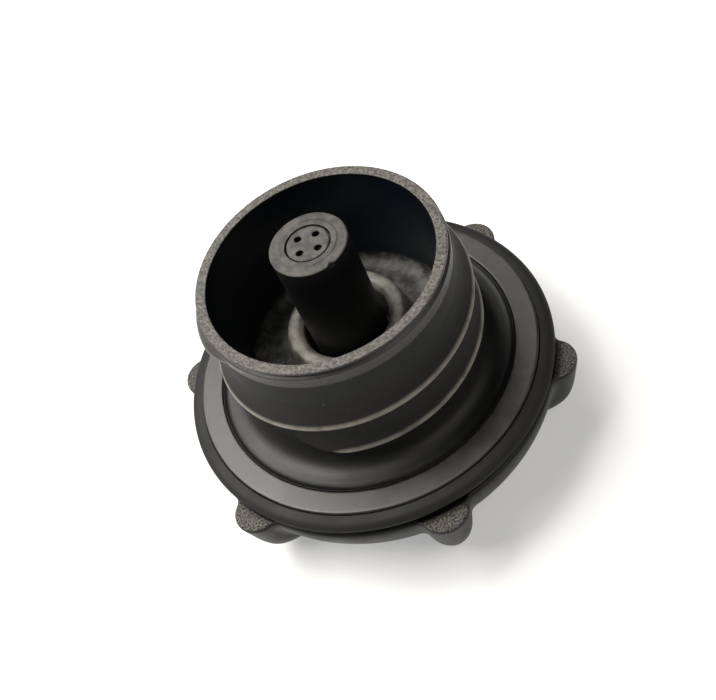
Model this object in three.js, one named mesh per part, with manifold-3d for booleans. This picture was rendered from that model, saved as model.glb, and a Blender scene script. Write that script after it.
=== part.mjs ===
// Screw-in pressure cap for a coolant expansion tank, standing on its grip knob.
// Units are millimetres, +Z is up and the Z axis is the cap's axis.
// The knob's flat outer face lies on z = 0 and the threaded neck points up.
import * as THREE from 'three';
import { mergeVertices } from 'three/addons/utils/BufferGeometryUtils.js';
import Module from 'manifold-3d';

const wasm = await Module();
wasm.setup();

// ---------------------------------------------------------------- driving dimensions
const seatGap = 0.3; // gap left between pieces that touch on the real cap
const runGap = 0.4; // gap between pieces that turn or slide past each other

const knobHeight = 16;
const knobRimR = 36.2; // body of the knob at its upper edge
const knobFaceR = 23.8; // flat outer face
const knobFloor = 2.4; // thickness of the outer face
const cavityR = 31.2; // hollow of the knob, upper part
const lobeCount = 6;
const lobeTipR = 40.2; // grip lobes, measured from the axis
const lobeWidth = 9;
const lobeAngle = 30; // degrees from +X to the first lobe

const flangeGap = 1.2; // visible slot between the knob and the flange
const flangeR = 36.5;
const flangeThick = 2.6;
const gasketInR = 29.5;
const gasketOutR = 33.5;
const gasketThick = 1.7;
const gasketProud = 0.6; // height of the gasket above the flange's shoulder

const neckHeight = 28.3; // from the gasket's face to the neck's rim
const neckR = 22.9; // rim of the neck
const neckWall = 2.0;
const cupDepth = 23.1; // from the rim to the floor inside the neck
const cupFloorR = 17.8;
const cupFloorThick = 2.2;

const threadCrestR = 25.0; // thread diameter of 50
const threadLead = 8.0;
const threadRootR = 22.6;
const threadCrestDrop = 13.2; // from the rim to the crest at threadCrestAngle
const threadCrestAngle = -60;
const threadTop = 185; // angle at which the thread starts, degrees
const threadBottom = -510; // and where it runs out
const threadFlank = 6.6; // height of the gentle upper flank

const hubOutR = 28.2; // skirt of the insert inside the knob
const hubWall = 2.6;
const hubBottom = knobHeight - 8;
const lugHeight = 2.5;
const insertLugArc = 18; // degrees
const driveLugArc = 12;
const lipThick = 2.8; // inner lip of the knob that holds the snap ring

const postR = 7.05; // valve housing
const postProud = 5.5; // above the neck's rim
const postWall = 1.45;
const postEndWall = 4.0;
const postThroatR = 3.6;
const discR = 3.85; // perforated inlet disc in the end of the post
const discThick = 0.8;
const discHoleR = 0.7;
const discHoleCircleR = 2.3;
const discHoleAngle = 32;
const postFlangeThick = 2.3;
const postTail = 13.0; // height of the housing's lower end
const collarWall = 3.25;
const collarHeight = 7.0;

const pressureWire = 0.9;
const pressureTurns = 7;
const vacuumWire = 0.36;
const vacuumCoilR = 1.75;
const vacuumTurns = 5;

const roundSteps = 48; // facets round the large pieces
const smallSteps = 24; // facets round the small ones

// ---------------------------------------------------------------- heights that follow
const flangeBottom = knobHeight + flangeGap;
const gasketTop = flangeBottom + flangeThick + gasketProud - 0.2;
const gasketBottom = gasketTop - gasketThick;
const rimZ = gasketTop + neckHeight;
const cupFloorZ = rimZ - cupDepth;
const floorUnderZ = cupFloorZ - cupFloorThick;
const postTop = rimZ + postProud;
const ledgeZ = postTop - postEndWall; // underside of the post's end wall
const postFlangeTop = floorUnderZ - seatGap;
const postFlangeBottom = postFlangeTop - postFlangeThick;
const retainerTop = postFlangeBottom - seatGap;
const retainerThick = 2.4;
const retainerBottom = retainerTop - retainerThick;

// ---------------------------------------------------------------- radii that follow
const postBoreR = postR - postWall;
const collarInR = postR + 1.15;
const collarOutR = collarInR + collarWall;
const oRingR = postR + 2.4; // mean radius of the seal under the cup's floor
const postFlangeR = oRingR + 1.55;
const socketInR = postFlangeR + 4;
const socketWall = 2.0;
const skirtOutR = postBoreR - 1.9; // skirt of the piston, inside the spring
const skirtInR = skirtOutR - 1;
const pressureCoilR = (skirtOutR + postBoreR) / 2 - 0.15;

// ---------------------------------------------------------------- materials
function plastic(name, colour, roughness) {
  return new THREE.MeshStandardMaterial({ name, color: colour, roughness, metalness: 0 });
}

function metal(name, colour, roughness) {
  return new THREE.MeshStandardMaterial({ name, color: colour, roughness, metalness: 1 });
}

const finish = {
  knob: plastic('black_nylon_grained', 0x1d1c1b, 0.6),
  insert: plastic('black_nylon_satin', 0x1b1b1a, 0.45),
  post: plastic('black_nylon_post', 0x22211f, 0.5),
  inner: plastic('acetal_inner', 0x35342f, 0.5),
  rubber: plastic('epdm_rubber', 0x2a2926, 0.8),
  spring: metal('stainless_spring_wire', 0xb9bcc0, 0.3),
  brass: metal('brass_turned', 0xb08d4a, 0.35),
};

// ---------------------------------------------------------------- helpers
function weld(geometry) {
  const bare = geometry.index ? geometry.clone() : mergeVertices(geometry);
  bare.deleteAttribute('normal');
  bare.deleteAttribute('uv');
  const merged = mergeVertices(bare, 1e-4);
  const index = merged.index.array;
  const kept = [];
  for (let i = 0; i < index.length; i += 3) {
    const [a, b, c] = [index[i], index[i + 1], index[i + 2]];
    if (a !== b && b !== c && c !== a) kept.push(a, b, c);
  }
  merged.setIndex(kept);
  return signedVolume(merged) < 0 ? turnedInsideOut(merged) : merged;
}

function signedVolume(geometry) {
  const p = geometry.attributes.position;
  const index = geometry.index.array;
  const [a, b, c] = [new THREE.Vector3(), new THREE.Vector3(), new THREE.Vector3()];
  let sum = 0;
  for (let i = 0; i < index.length; i += 3) {
    a.fromBufferAttribute(p, index[i]);
    b.fromBufferAttribute(p, index[i + 1]);
    c.fromBufferAttribute(p, index[i + 2]);
    sum += a.dot(b.cross(c)) / 6;
  }
  return sum;
}

function turnedInsideOut(geometry) {
  const index = Array.from(geometry.index.array);
  for (let i = 0; i < index.length; i += 3) {
    [index[i + 1], index[i + 2]] = [index[i + 2], index[i + 1]];
  }
  geometry.setIndex(index);
  return geometry;
}

function toSolid(geometry) {
  const g = weld(geometry);
  return new wasm.Manifold(new wasm.Mesh({
    numProp: 3,
    vertProperties: Float32Array.from(g.attributes.position.array),
    triVerts: Uint32Array.from(g.index.array),
  }));
}

function fromSolid(solid) {
  const mesh = solid.getMesh();
  const g = new THREE.BufferGeometry();
  g.setAttribute('position', new THREE.BufferAttribute(mesh.vertProperties, 3));
  g.setIndex(new THREE.BufferAttribute(mesh.triVerts, 1));
  return g;
}

function joined(first, ...others) {
  let solid = toSolid(first);
  for (const other of others) solid = solid.add(toSolid(other));
  return fromSolid(solid);
}

function cut(first, ...tools) {
  let solid = toSolid(first);
  for (const tool of tools) solid = solid.subtract(toSolid(tool));
  return fromSolid(solid);
}

// A profile of [radius, height] points turned about +Z; a ring's profile is closed here.
function turned(points, steps = smallSteps) {
  const profile = points.map(([r, z]) => new THREE.Vector2(r, z));
  const touchesAxis = points[0][0] === 0;
  if (!touchesAxis) profile.push(profile[0].clone());
  return new THREE.LatheGeometry(profile, steps).rotateX(Math.PI / 2);
}

function washer(inR, outR, low, high, steps = smallSteps) {
  return turned([[inR, low], [outR, low], [outR, high], [inR, high]], steps);
}

function disc(r, low, high, steps = smallSteps) {
  return turned([[0, low], [r, low], [r, high], [0, high]], steps);
}

// An annular sector from angle a0 to a1 (degrees), standing from low to high.
function sector(inR, outR, a0, a1, low, high) {
  const rad = THREE.MathUtils.degToRad;
  const shape = new THREE.Shape();
  shape.absarc(0, 0, outR, rad(a0), rad(a1), false);
  shape.absarc(0, 0, inR, rad(a1), rad(a0), true);
  const curveSegments = Math.max(3, Math.round((a1 - a0) / 9));
  return new THREE.ExtrudeGeometry(shape, { depth: high - low, bevelEnabled: false, curveSegments })
    .translate(0, 0, low);
}

// Around the axis: copies of a geometry, one every 360/count degrees from first.
function around(count, first, make) {
  return Array.from({ length: count }, (_, i) => {
    const angle = THREE.MathUtils.degToRad(first + (360 * i) / count);
    return make().rotateZ(angle);
  });
}

// A straight bar of the given section, wrapped round the axis. place(x, y, t) gives the
// angle in radians, radius and height of the section's point (x, y) at share t of the length.
function wrapped(section, steps, place) {
  const bar = new THREE.ExtrudeGeometry(section, { depth: 1, steps, bevelEnabled: false, curveSegments: 2 });
  const p = bar.attributes.position;
  for (let i = 0; i < p.count; i += 1) {
    const [angle, radius, height] = place(p.getX(i), p.getY(i), p.getZ(i));
    p.setXYZ(i, radius * Math.cos(angle), radius * Math.sin(angle), height);
  }
  return bar;
}

function polygon(points) {
  return new THREE.Shape(points.map(([x, y]) => new THREE.Vector2(x, y)));
}

function smooth(t) {
  const u = THREE.MathUtils.clamp(t, 0, 1);
  return u * u * (3 - 2 * u);
}

// ---------------------------------------------------------------- grip knob
// Radius of the bowl between the lobes, at a height.
const bowl = [
  [knobFaceR, 0], [knobFaceR + 1.5, 0.5], [knobRimR - 7, knobHeight - 13.4],
  [knobRimR - 4, knobHeight - 10.2], [knobRimR - 1.7, knobHeight - 6.7],
  [knobRimR - 0.4, knobHeight - 3.2], [knobRimR, knobHeight - 0.6], [knobRimR - 0.6, knobHeight],
];
// Reach of a lobe's tip at a height.
const lobeTip = [
  [lobeTipR - 9.9, 0], [lobeTipR - 5.7, 2], [lobeTipR - 3.2, knobHeight - 11.4],
  [lobeTipR - 1.8, knobHeight - 8.2], [lobeTipR - 0.9, knobHeight - 4], [lobeTipR, knobHeight],
];

function radiusAt(profile, z) {
  for (let i = 1; i < profile.length; i += 1) {
    const [r0, z0] = profile[i - 1];
    const [r1, z1] = profile[i];
    if (z <= z1) return r0 + ((r1 - r0) * (z - z0)) / (z1 - z0);
  }
  return profile[profile.length - 1][0];
}

function lobe() {
  const rootX = knobRimR - 1.6;
  const tipCentre = lobeTipR - lobeWidth / 2;
  const half = lobeWidth / 2;
  const shape = new THREE.Shape();
  shape.moveTo(rootX, -half - 2.2);
  shape.lineTo(rootX + 1, -half - 1.4);
  shape.lineTo(tipCentre, -half);
  shape.absarc(tipCentre, 0, half, -Math.PI / 2, Math.PI / 2, false);
  shape.lineTo(rootX + 1, half + 1.4);
  shape.lineTo(rootX, half + 2.2);
  const options = { depth: knobHeight, steps: 6, bevelEnabled: false, curveSegments: 6 };
  const bar = new THREE.ExtrudeGeometry(shape, options);
  const p = bar.attributes.position;
  for (let i = 0; i < p.count; i += 1) {
    const z = p.getZ(i);
    const root = radiusAt(bowl, z) - 1.6;
    const share = (p.getX(i) - rootX) / (lobeTipR - rootX);
    p.setX(i, root + share * (radiusAt(lobeTip, z) - root));
  }
  return bar;
}

function keyRib(gap) {
  return new THREE.BoxGeometry(5, 3 + 2 * gap, 1.7 + gap).translate(21.5, 0, knobFloor + (1.7 + gap) / 2 - 0.1);
}

function gripKnob() {
  const cavityFloorR = knobFaceR + 0.7;
  const lipBottom = knobHeight - lipThick;
  const shell = turned([
    [0, 0],
    ...bowl,
    [hubOutR + runGap, knobHeight],
    [hubOutR + runGap, lipBottom],
    [cavityR, lipBottom],
    [cavityR, knobHeight - 6],
    [cavityFloorR, knobFloor],
    [0, knobFloor],
  ], roundSteps);
  return joined(shell, ...around(lobeCount, lobeAngle, lobe), ...around(3, lobeAngle, () => keyRib(0)));
}

const driveRingOutR = 23.2;
const driveRingWall = 2.7;
const driveRingTop = hubBottom + lugHeight;

function driveRing() {
  const low = knobFloor + seatGap;
  const ring = washer(driveRingOutR - driveRingWall, driveRingOutR, low, driveRingTop, roundSteps);
  const half = driveLugArc / 2;
  const lugTip = hubOutR - hubWall - runGap;
  const lug = () => sector(driveRingOutR - 1, lugTip, -half, half, hubBottom, driveRingTop);
  const crown = joined(ring, ...around(lobeCount, lobeAngle, lug));
  return cut(crown, ...around(3, lobeAngle, () => keyRib(seatGap)));
}

function thrustWasher() {
  const low = knobHeight + seatGap;
  return washer(hubOutR + runGap + 0.3, gasketOutR - 1, low, flangeBottom - seatGap, roundSteps);
}

// ---------------------------------------------------------------- threaded insert
function threadHeight(angleDeg) {
  return rimZ - threadCrestDrop + (threadLead * (angleDeg - threadCrestAngle)) / 360;
}

// The main thread: a gentle upper flank, a rounded crest and a short undercut below it.
function threadRidge() {
  const inner = threadRootR - 0.4;
  const rise = threadCrestR - inner;
  const section = polygon([
    [inner, -0.9], [inner + 0.62 * rise, -0.6], [threadCrestR - 0.1, -0.15], [threadCrestR, 0.25],
    [threadCrestR - 0.25, 0.9], [inner + 0.58 * rise, 3.1], [inner, threadFlank],
  ]);
  const span = threadTop - threadBottom;
  return wrapped(section, Math.round(span / 11), (x, y, t) => {
    const angle = threadTop - span * t;
    const fade = smooth((span * t) / 25 + 0.1) * smooth((span * (1 - t)) / 40 + 0.1);
    const radius = inner + (x - inner) * fade;
    return [THREE.MathUtils.degToRad(angle), radius, threadHeight(angle) + y];
  });
}

// The short first turn by the rim, which fades out on the way down.
function leadInRidge() {
  const inner = threadRootR - 0.4;
  const crest = threadCrestR - 0.5;
  const start = 215;
  const end = -30;
  const firstDrop = 1.9;
  const section = polygon([[inner, -0.8], [crest - 0.2, -0.2], [crest, 0.1], [inner, 1]]);
  return wrapped(section, 28, (x, y, t) => {
    const angle = start + (end - start) * t;
    const drop = firstDrop + (threadLead * (start - angle)) / 360;
    const fade = smooth(t * 8 + 0.1) * (1 - 0.85 * t);
    const reach = y > 0.5 ? y * Math.min(drop - 1.2, 3) : y;
    return [THREE.MathUtils.degToRad(angle), inner + (x - inner) * fade, rimZ - drop + reach];
  });
}

const hollowR = threadRootR - 2.6; // hollow under the neck
const snapRingThick = 1.2;
const snapGrooveDepth = 1.2;
const snapGrooveTop = knobHeight - lipThick - 0.3;

function insertProfile() {
  const cupR = neckR - neckWall;
  const hubInR = hubOutR - hubWall;
  const grooveOut = gasketOutR + seatGap;
  const grooveIn = gasketInR - seatGap;
  const grooveFloor = gasketBottom - seatGap;
  const shoulder = gasketTop - gasketProud;
  const snapGrooveLow = snapGrooveTop - snapRingThick - 2 * seatGap;
  const bead = retainerBottom - seatGap;
  return [
    // inside the neck, from the socket's hole to the rim
    [collarInR + 0.15, floorUnderZ], [collarInR + 0.15, cupFloorZ], [cupFloorR, cupFloorZ],
    [cupFloorR + 1.6, cupFloorZ + 1.2], [cupFloorR + 2.1, cupFloorZ + 3.2], [cupR, rimZ],
    // rim, the fine groove under it and the root of the thread
    [neckR, rimZ], [neckR, rimZ - 0.5], [neckR - 0.45, rimZ - 0.7], [neckR - 0.45, rimZ - 1.1],
    [neckR, rimZ - 1.3], [threadRootR, rimZ - 4], [threadRootR, cupFloorZ + 0.6],
    // neck's foot, the dish round it and the gasket's groove
    [threadRootR + 0.1, cupFloorZ - 1.5], [threadRootR + 0.7, cupFloorZ - 3], [threadRootR + 1.8, gasketTop + 0.2],
    [gasketInR - 3, gasketTop - 0.6], [grooveIn, gasketTop - 0.5], [grooveIn, grooveFloor], [grooveOut, grooveFloor],
    // rounded shoulder and the underside of the flange
    [grooveOut, shoulder], [flangeR - 1.5, shoulder - 0.2], [flangeR - 0.5, shoulder - 1.1],
    [flangeR, shoulder - 1.4], [flangeR - 1.2, flangeBottom],
    // skirt with the snap ring's groove
    [hubOutR, flangeBottom], [hubOutR, snapGrooveTop], [hubOutR - snapGrooveDepth, snapGrooveTop],
    [hubOutR - snapGrooveDepth, snapGrooveLow], [hubOutR, snapGrooveLow], [hubOutR, hubBottom],
    [hubInR, hubBottom], [hubInR, flangeBottom + 0.6],
    // hollow under the neck and the valve's socket
    [hollowR, flangeBottom + 2.6], [hollowR, floorUnderZ - 0.6], [socketInR + socketWall, floorUnderZ],
    [socketInR + socketWall, bead - 1.2], [socketInR + 0.2, bead - 1.2], [socketInR - 0.6, bead - 0.7],
    [socketInR - 0.6, bead - 0.3], [socketInR, bead], [socketInR, floorUnderZ],
  ];
}

function threadedInsert() {
  const hubInR = hubOutR - hubWall;
  const half = insertLugArc / 2;
  const lug = () => sector(driveRingOutR + runGap, hubInR + 1, -half, half, hubBottom, hubBottom + lugHeight);
  const between = lobeAngle + 180 / lobeCount;
  return joined(turned(insertProfile(), roundSteps), threadRidge(), leadInRidge(),
    ...around(lobeCount, between, lug));
}

function flangeGasket() {
  return washer(gasketInR, gasketOutR, gasketBottom, gasketTop, roundSteps);
}

function snapRing() {
  const high = snapGrooveTop - seatGap;
  const inR = hubOutR - snapGrooveDepth + seatGap;
  return sector(inR, inR + 3, -168, 168, high - snapRingThick, high);
}

// The raised, rounded ring on the cup's floor round the post.
function postCollar() {
  const low = cupFloorZ + seatGap;
  const high = cupFloorZ + collarHeight + seatGap;
  return turned([
    [collarInR, low], [collarOutR + 1.6, low], [collarOutR + 0.9, low + 1.2], [collarOutR, high - 2],
    [collarOutR, high - 0.8], [collarOutR - 0.7, high], [collarInR + 1, high - 0.3],
    [collarInR, high - 1.2],
  ], 36);
}

// ---------------------------------------------------------------- valve housing
const oRingSection = 0.55;

function valveHousing() {
  const recessR = discR + seatGap;
  const shelf = postTop - discThick - 0.1 - seatGap;
  const lip = 0.6;
  const groove = postFlangeTop - 1.4;
  return turned([
    [postBoreR, postTail], [postR, postTail], [postR, postFlangeBottom], [postFlangeR, postFlangeBottom],
    [postFlangeR, postFlangeTop], [oRingR + 0.95, postFlangeTop], [oRingR + 0.95, groove],
    [oRingR - 0.95, groove], [oRingR - 0.95, postFlangeTop], [postR, postFlangeTop],
    [postR, postTop - 0.2], [postR - 0.2, postTop], [recessR, postTop], [recessR, shelf],
    [postThroatR, shelf], [postThroatR, ledgeZ], [postThroatR + 0.2, ledgeZ],
    [postThroatR + 0.35, ledgeZ - lip], [postThroatR + 0.8, ledgeZ - lip], [postThroatR + 1, ledgeZ],
    [postBoreR, ledgeZ],
  ], 32);
}

function housingORing() {
  return new THREE.TorusGeometry(oRingR, oRingSection, 6, 24)
    .translate(0, 0, floorUnderZ - seatGap - oRingSection);
}

function housingRetainer() {
  const outR = socketInR - seatGap;
  const plate = washer(postR + seatGap, outR, retainerBottom, retainerTop, 32);
  const notch = () => new THREE.BoxGeometry(3, 3, retainerThick + 1)
    .translate(outR, 0, (retainerBottom + retainerTop) / 2);
  return cut(plate, ...around(4, 45, notch));
}

function inletDisc() {
  const high = postTop - 0.1;
  const plate = disc(discR, high - discThick, high);
  const hole = () => disc(discHoleR, high - discThick - 1, high + 1, 10).translate(discHoleCircleR, 0, 0);
  return cut(plate, ...around(4, discHoleAngle, hole));
}

// ---------------------------------------------------------------- pressure valve
const sealThick = 1.2;
const lipGap = 0.6 + seatGap; // raised lip of the seat, and the gap to the seal
const sealTop = ledgeZ - lipGap;
const sealBottom = sealTop - sealThick;
const webTop = sealBottom - seatGap;
const webThick = 1.5;
const webBottom = webTop - webThick;
const sleeveOutR = 1.9;
const stemR = 0.9;
const skirtLength = 5.5;
const springTop = webBottom - seatGap;

function pressurePiston() {
  return turned([
    [sleeveOutR + seatGap, webBottom], [sleeveOutR + seatGap, webTop], [postBoreR - seatGap, webTop],
    [postBoreR - seatGap, webBottom], [skirtOutR, webBottom - 0.01], [skirtOutR, webBottom - skirtLength],
    [skirtInR, webBottom - skirtLength], [skirtInR, webBottom],
  ]);
}

function pistonSeal() {
  return washer(sleeveOutR + seatGap, postBoreR - seatGap - 0.1, sealBottom, sealTop);
}

// Metal washer with a sleeve, which clamps the seal to the piston and guides the stem.
function sealRetainer() {
  const low = sealTop + seatGap;
  return turned([
    [stemR + runGap, webBottom], [sleeveOutR, webBottom], [sleeveOutR, low], [postThroatR - 0.6, low],
    [postThroatR - 0.6, low + 0.6], [stemR + runGap, low + 0.6],
  ]);
}

const adjusterTop = postTail + 4.3;

function springAdjuster() {
  const low = postTail + seatGap;
  const outR = postBoreR - seatGap;
  const plug = turned([
    [1.6, low], [outR, low], [outR, adjusterTop], [3.5, adjusterTop], [3.5, adjusterTop + 2.2],
    [1.6, adjusterTop + 2.2],
  ]);
  return cut(plug, new THREE.BoxGeometry(9, 1.2, 2.4).translate(0, 0, low));
}

// A coil of round wire standing from low to high.
function coil(meanR, wire, turns, low, high) {
  const section = new THREE.Shape();
  section.absarc(0, 0, wire / 2, 0, 2 * Math.PI, false);
  const bottom = low + wire / 2;
  const rise = high - low - wire;
  const sides = polygon(section.getPoints(3).slice(0, 6).map((q) => [q.x, q.y]));
  return wrapped(sides, turns * 10, (x, y, t) => [2 * Math.PI * turns * t, meanR + x, bottom + rise * t + y]);
}

function pressureSpring() {
  return coil(pressureCoilR, pressureWire, pressureTurns, adjusterTop + seatGap, springTop);
}

// ---------------------------------------------------------------- vacuum valve
const ventSealLow = sealTop + seatGap + 0.6 + seatGap;
const ventSealHigh = ventSealLow + 0.6;
const ventDiscLow = ventSealHigh + seatGap;
const ventDiscHigh = ventDiscLow + 0.6;
const clipTop = webBottom - 5.2;
const clipThick = 1;
const stemEnd = clipTop - clipThick - 0.8;

function vacuumValve() {
  return turned([
    [0, ventDiscHigh], [2.9, ventDiscHigh], [2.9, ventDiscLow], [stemR, ventDiscLow],
    [stemR, stemEnd + 0.5], [1.5, stemEnd + 0.5], [1.5, stemEnd], [0, stemEnd],
  ], 24);
}

function vacuumSeal() {
  return washer(stemR + seatGap, 2.8, ventSealLow, ventSealHigh, 24);
}

function vacuumClip() {
  return washer(stemR + seatGap, skirtInR - runGap, clipTop - clipThick, clipTop, 24);
}

function vacuumSpring() {
  return coil(vacuumCoilR, vacuumWire, vacuumTurns, clipTop + seatGap, springTop);
}

// ---------------------------------------------------------------- assembly
function piece(name, geometry, material) {
  const mesh = new THREE.Mesh(weld(geometry), material);
  mesh.geometry.computeVertexNormals();
  mesh.name = name;
  return mesh;
}

const cap = new THREE.Group();
cap.name = 'pressure_cap';
cap.add(
  piece('grip_knob', gripKnob(), finish.knob),
  piece('drive_ring', driveRing(), finish.inner),
  piece('thrust_washer', thrustWasher(), finish.inner),
  piece('threaded_insert', threadedInsert(), finish.insert),
  piece('flange_gasket', flangeGasket(), finish.rubber),
  piece('snap_ring', snapRing(), finish.spring),
  piece('post_collar', postCollar(), finish.insert),
  piece('valve_housing', valveHousing(), finish.post),
  piece('housing_o_ring', housingORing(), finish.rubber),
  piece('housing_retainer', housingRetainer(), finish.inner),
  piece('inlet_disc', inletDisc(), finish.post),
  piece('pressure_piston', pressurePiston(), finish.inner),
  piece('piston_seal', pistonSeal(), finish.rubber),
  piece('seal_retainer', sealRetainer(), finish.brass),
  piece('pressure_spring', pressureSpring(), finish.spring),
  piece('spring_adjuster', springAdjuster(), finish.brass),
  piece('vacuum_valve', vacuumValve(), finish.brass),
  piece('vacuum_seal', vacuumSeal(), finish.rubber),
  piece('vacuum_spring', vacuumSpring(), finish.spring),
  piece('vacuum_clip', vacuumClip(), finish.brass),
);

export default cap;
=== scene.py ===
# %% Frame
import math

import bmesh
import bpy
import numpy as np
from mathutils import Matrix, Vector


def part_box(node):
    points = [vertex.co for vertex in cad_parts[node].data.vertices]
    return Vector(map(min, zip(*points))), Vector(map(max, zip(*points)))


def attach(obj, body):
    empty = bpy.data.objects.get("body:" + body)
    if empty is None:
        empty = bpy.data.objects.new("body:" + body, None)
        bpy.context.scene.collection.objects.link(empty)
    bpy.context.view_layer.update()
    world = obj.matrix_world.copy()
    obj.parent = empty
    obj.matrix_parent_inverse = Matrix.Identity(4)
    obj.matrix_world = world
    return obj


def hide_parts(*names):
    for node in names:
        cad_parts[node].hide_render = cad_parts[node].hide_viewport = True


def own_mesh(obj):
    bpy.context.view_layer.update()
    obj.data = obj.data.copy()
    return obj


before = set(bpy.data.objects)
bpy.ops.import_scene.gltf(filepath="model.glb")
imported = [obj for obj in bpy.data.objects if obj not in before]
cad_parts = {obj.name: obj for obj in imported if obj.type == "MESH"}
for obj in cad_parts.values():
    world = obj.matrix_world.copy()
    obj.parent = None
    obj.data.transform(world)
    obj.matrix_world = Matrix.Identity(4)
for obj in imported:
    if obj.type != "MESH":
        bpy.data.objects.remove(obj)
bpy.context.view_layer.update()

# %% [markdown]
# A screw-in pressure cap for a coolant expansion tank stands on its grip knob, with the
# threaded neck upwards. The solid model is already there, so this script gives it its looks.
# Each visible moulding is worked out again as a fine surface, in the same place as its
# faceted solid, and each hidden piece keeps its solid and gets a material.
# All lengths below are in millimetres on the real cap, and turn into metres in one place.

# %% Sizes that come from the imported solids
MM = 0.001


def reach(node):
    """Outer radius, lowest and highest height of a node about the cap's axis, in millimetres."""
    low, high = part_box(node)
    return max(high[0], high[1]) / MM, low[2] / MM, high[2] / MM


flange_r, skirt_bottom, rim_z = reach("threaded_insert")
gasket_out, gasket_bottom, gasket_top = reach("flange_gasket")
lobe_reach, _, knob_top = reach("grip_knob")
housing_r, tail_z, post_top = reach("valve_housing")
collar_foot_r, collar_bottom, collar_top = reach("post_collar")
disc_r, disc_bottom, disc_top = reach("inlet_disc")

neck_r = 22.9        # rim of the neck
cup_r = 20.9         # inside of the neck at the rim
root_r = 22.6        # bottom of the thread
crest_r = 25.0       # a 50 mm thread
lead = 8.0           # the thread climbs 8 mm a turn
gasket_in = 29.5
knob_r = 36.2        # knob between its lobes
post_r = 7.05
print("rim", round(rim_z, 2), "flange radius", round(flange_r, 2), "post top", round(post_top, 2))

# %% [markdown]
# The camera looks down at the near side of the cap and is rolled, so the cap leans to the
# right in the frame. Its three axes are worked out from the tilt and the roll, and its place
# from the rim's centre. The distance is eight times the neck's radius, which is a close view
# with strong perspective.

# %% Camera
tilt = 0.88733       # above the horizon, radians
roll = -0.47211
back = np.array([0, -math.cos(tilt), math.sin(tilt)])
across = np.array([1.0, 0, 0])
upward = np.array([0, math.sin(tilt), math.cos(tilt)])
cam_right = math.cos(roll) * across + math.sin(roll) * upward
cam_up = -math.sin(roll) * across + math.cos(roll) * upward
rim_centre = np.array([0, 0, rim_z * MM])
spot = rim_centre + neck_r * MM * (0.3036 * cam_right - 0.6530 * cam_up + 8 * back)

camera = bpy.data.objects.new("camera", bpy.data.cameras.new("camera"))
bpy.context.scene.collection.objects.link(camera)
pose = np.eye(4)
pose[:3, 0], pose[:3, 1], pose[:3, 2], pose[:3, 3] = cam_right, cam_up, back, spot
camera.matrix_world = Matrix(pose.tolist())
camera.data.sensor_width = 36
camera.data.lens = 53.40
camera.data.clip_start = 0.01
bpy.context.scene.camera = camera
print("camera at", [round(float(v), 3) for v in spot])

# %% [markdown]
# Almost everything on this cap is a curve turned about the axis, so two helpers carry the
# modelling. One rounds the corners of an outline, because a moulding has no sharp corner and
# the small roundings are what catch the light. The other turns rows of points into a skin.
# A lathe modifier could turn the curves too, but whole arrays keep every shape a formula.

# %% Curves as arrays
def rounded(corners, cut=0.25, arc=4, closed=False):
    """Each corner becomes a short quadratic curve that starts and ends `cut` away from it.

    A corner is [x, y] or [x, y, its own cut]. One point further out on each side of a corner
    keeps the flat parts flat when the skin is shaded smooth.
    """
    own = np.array([c[2] if len(c) > 2 else cut for c in corners], dtype=float)
    p = np.array([c[:2] for c in corners], dtype=float)
    before, after = np.roll(p, 1, axis=0) - p, np.roll(p, -1, axis=0) - p
    length_before = np.linalg.norm(before, axis=1)[:, None]
    length_after = np.linalg.norm(after, axis=1)[:, None]
    cut_before = np.minimum(own[:, None], 0.42 * length_before)
    cut_after = np.minimum(own[:, None], 0.42 * length_after)
    start = p + before / length_before * cut_before
    end = p + after / length_after * cut_after
    t = np.linspace(0, 1, arc)[None, :, None]
    curve = (1 - t) ** 2 * start[:, None] + 2 * t * (1 - t) * p[:, None] + t ** 2 * end[:, None]
    lead_in = p + before / length_before * np.minimum(cut_before + 0.12, 0.46 * length_before)
    lead_out = p + after / length_after * np.minimum(cut_after + 0.12, 0.46 * length_after)
    rows = np.concatenate([lead_in[:, None], curve, lead_out[:, None]], axis=1)
    if closed:
        return rows.reshape(-1, 2)
    return np.concatenate([p[:1], rows[1:-1].reshape(-1, 2), p[-1:]])


def through(points, each=6):
    """A smooth curve through the points: a Catmull-Rom spline, sampled evenly in each span."""
    p = np.asarray(points, dtype=float)
    p = np.concatenate([2 * p[:1] - p[1:2], p, 2 * p[-1:] - p[-2:-1]])
    t = (np.arange(each) / each)[None, :, None]
    a, b, c, d = (p[i:len(p) - 3 + i, None] for i in range(4))
    curve = 0.5 * (2 * b + (c - a) * t + (2 * a - 5 * b + 4 * c - d) * t ** 2
                   + (3 * b - a - 3 * c + d) * t ** 3)
    return np.concatenate([curve.reshape(-1, p.shape[1]), p[-2:-1]])


def ease(t):
    """0 to 1 with a soft start and end."""
    t = np.clip(t, 0, 1)
    return t * t * (3 - 2 * t)


# %% Skins from rows of points
def quads(rows, columns, ring_rows, ring_columns):
    """Corner numbers of the four-sided faces of a grid, which may close on itself either way."""
    i = np.arange(rows if ring_rows else rows - 1)[:, None]
    j = np.arange(columns if ring_columns else columns - 1)[None, :]
    i2, j2 = (i + 1) % rows, (j + 1) % columns
    faces = np.stack([i * columns + j, i * columns + j2, i2 * columns + j2, i2 * columns + j], axis=-1)
    return faces.reshape(-1, 4)


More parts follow.
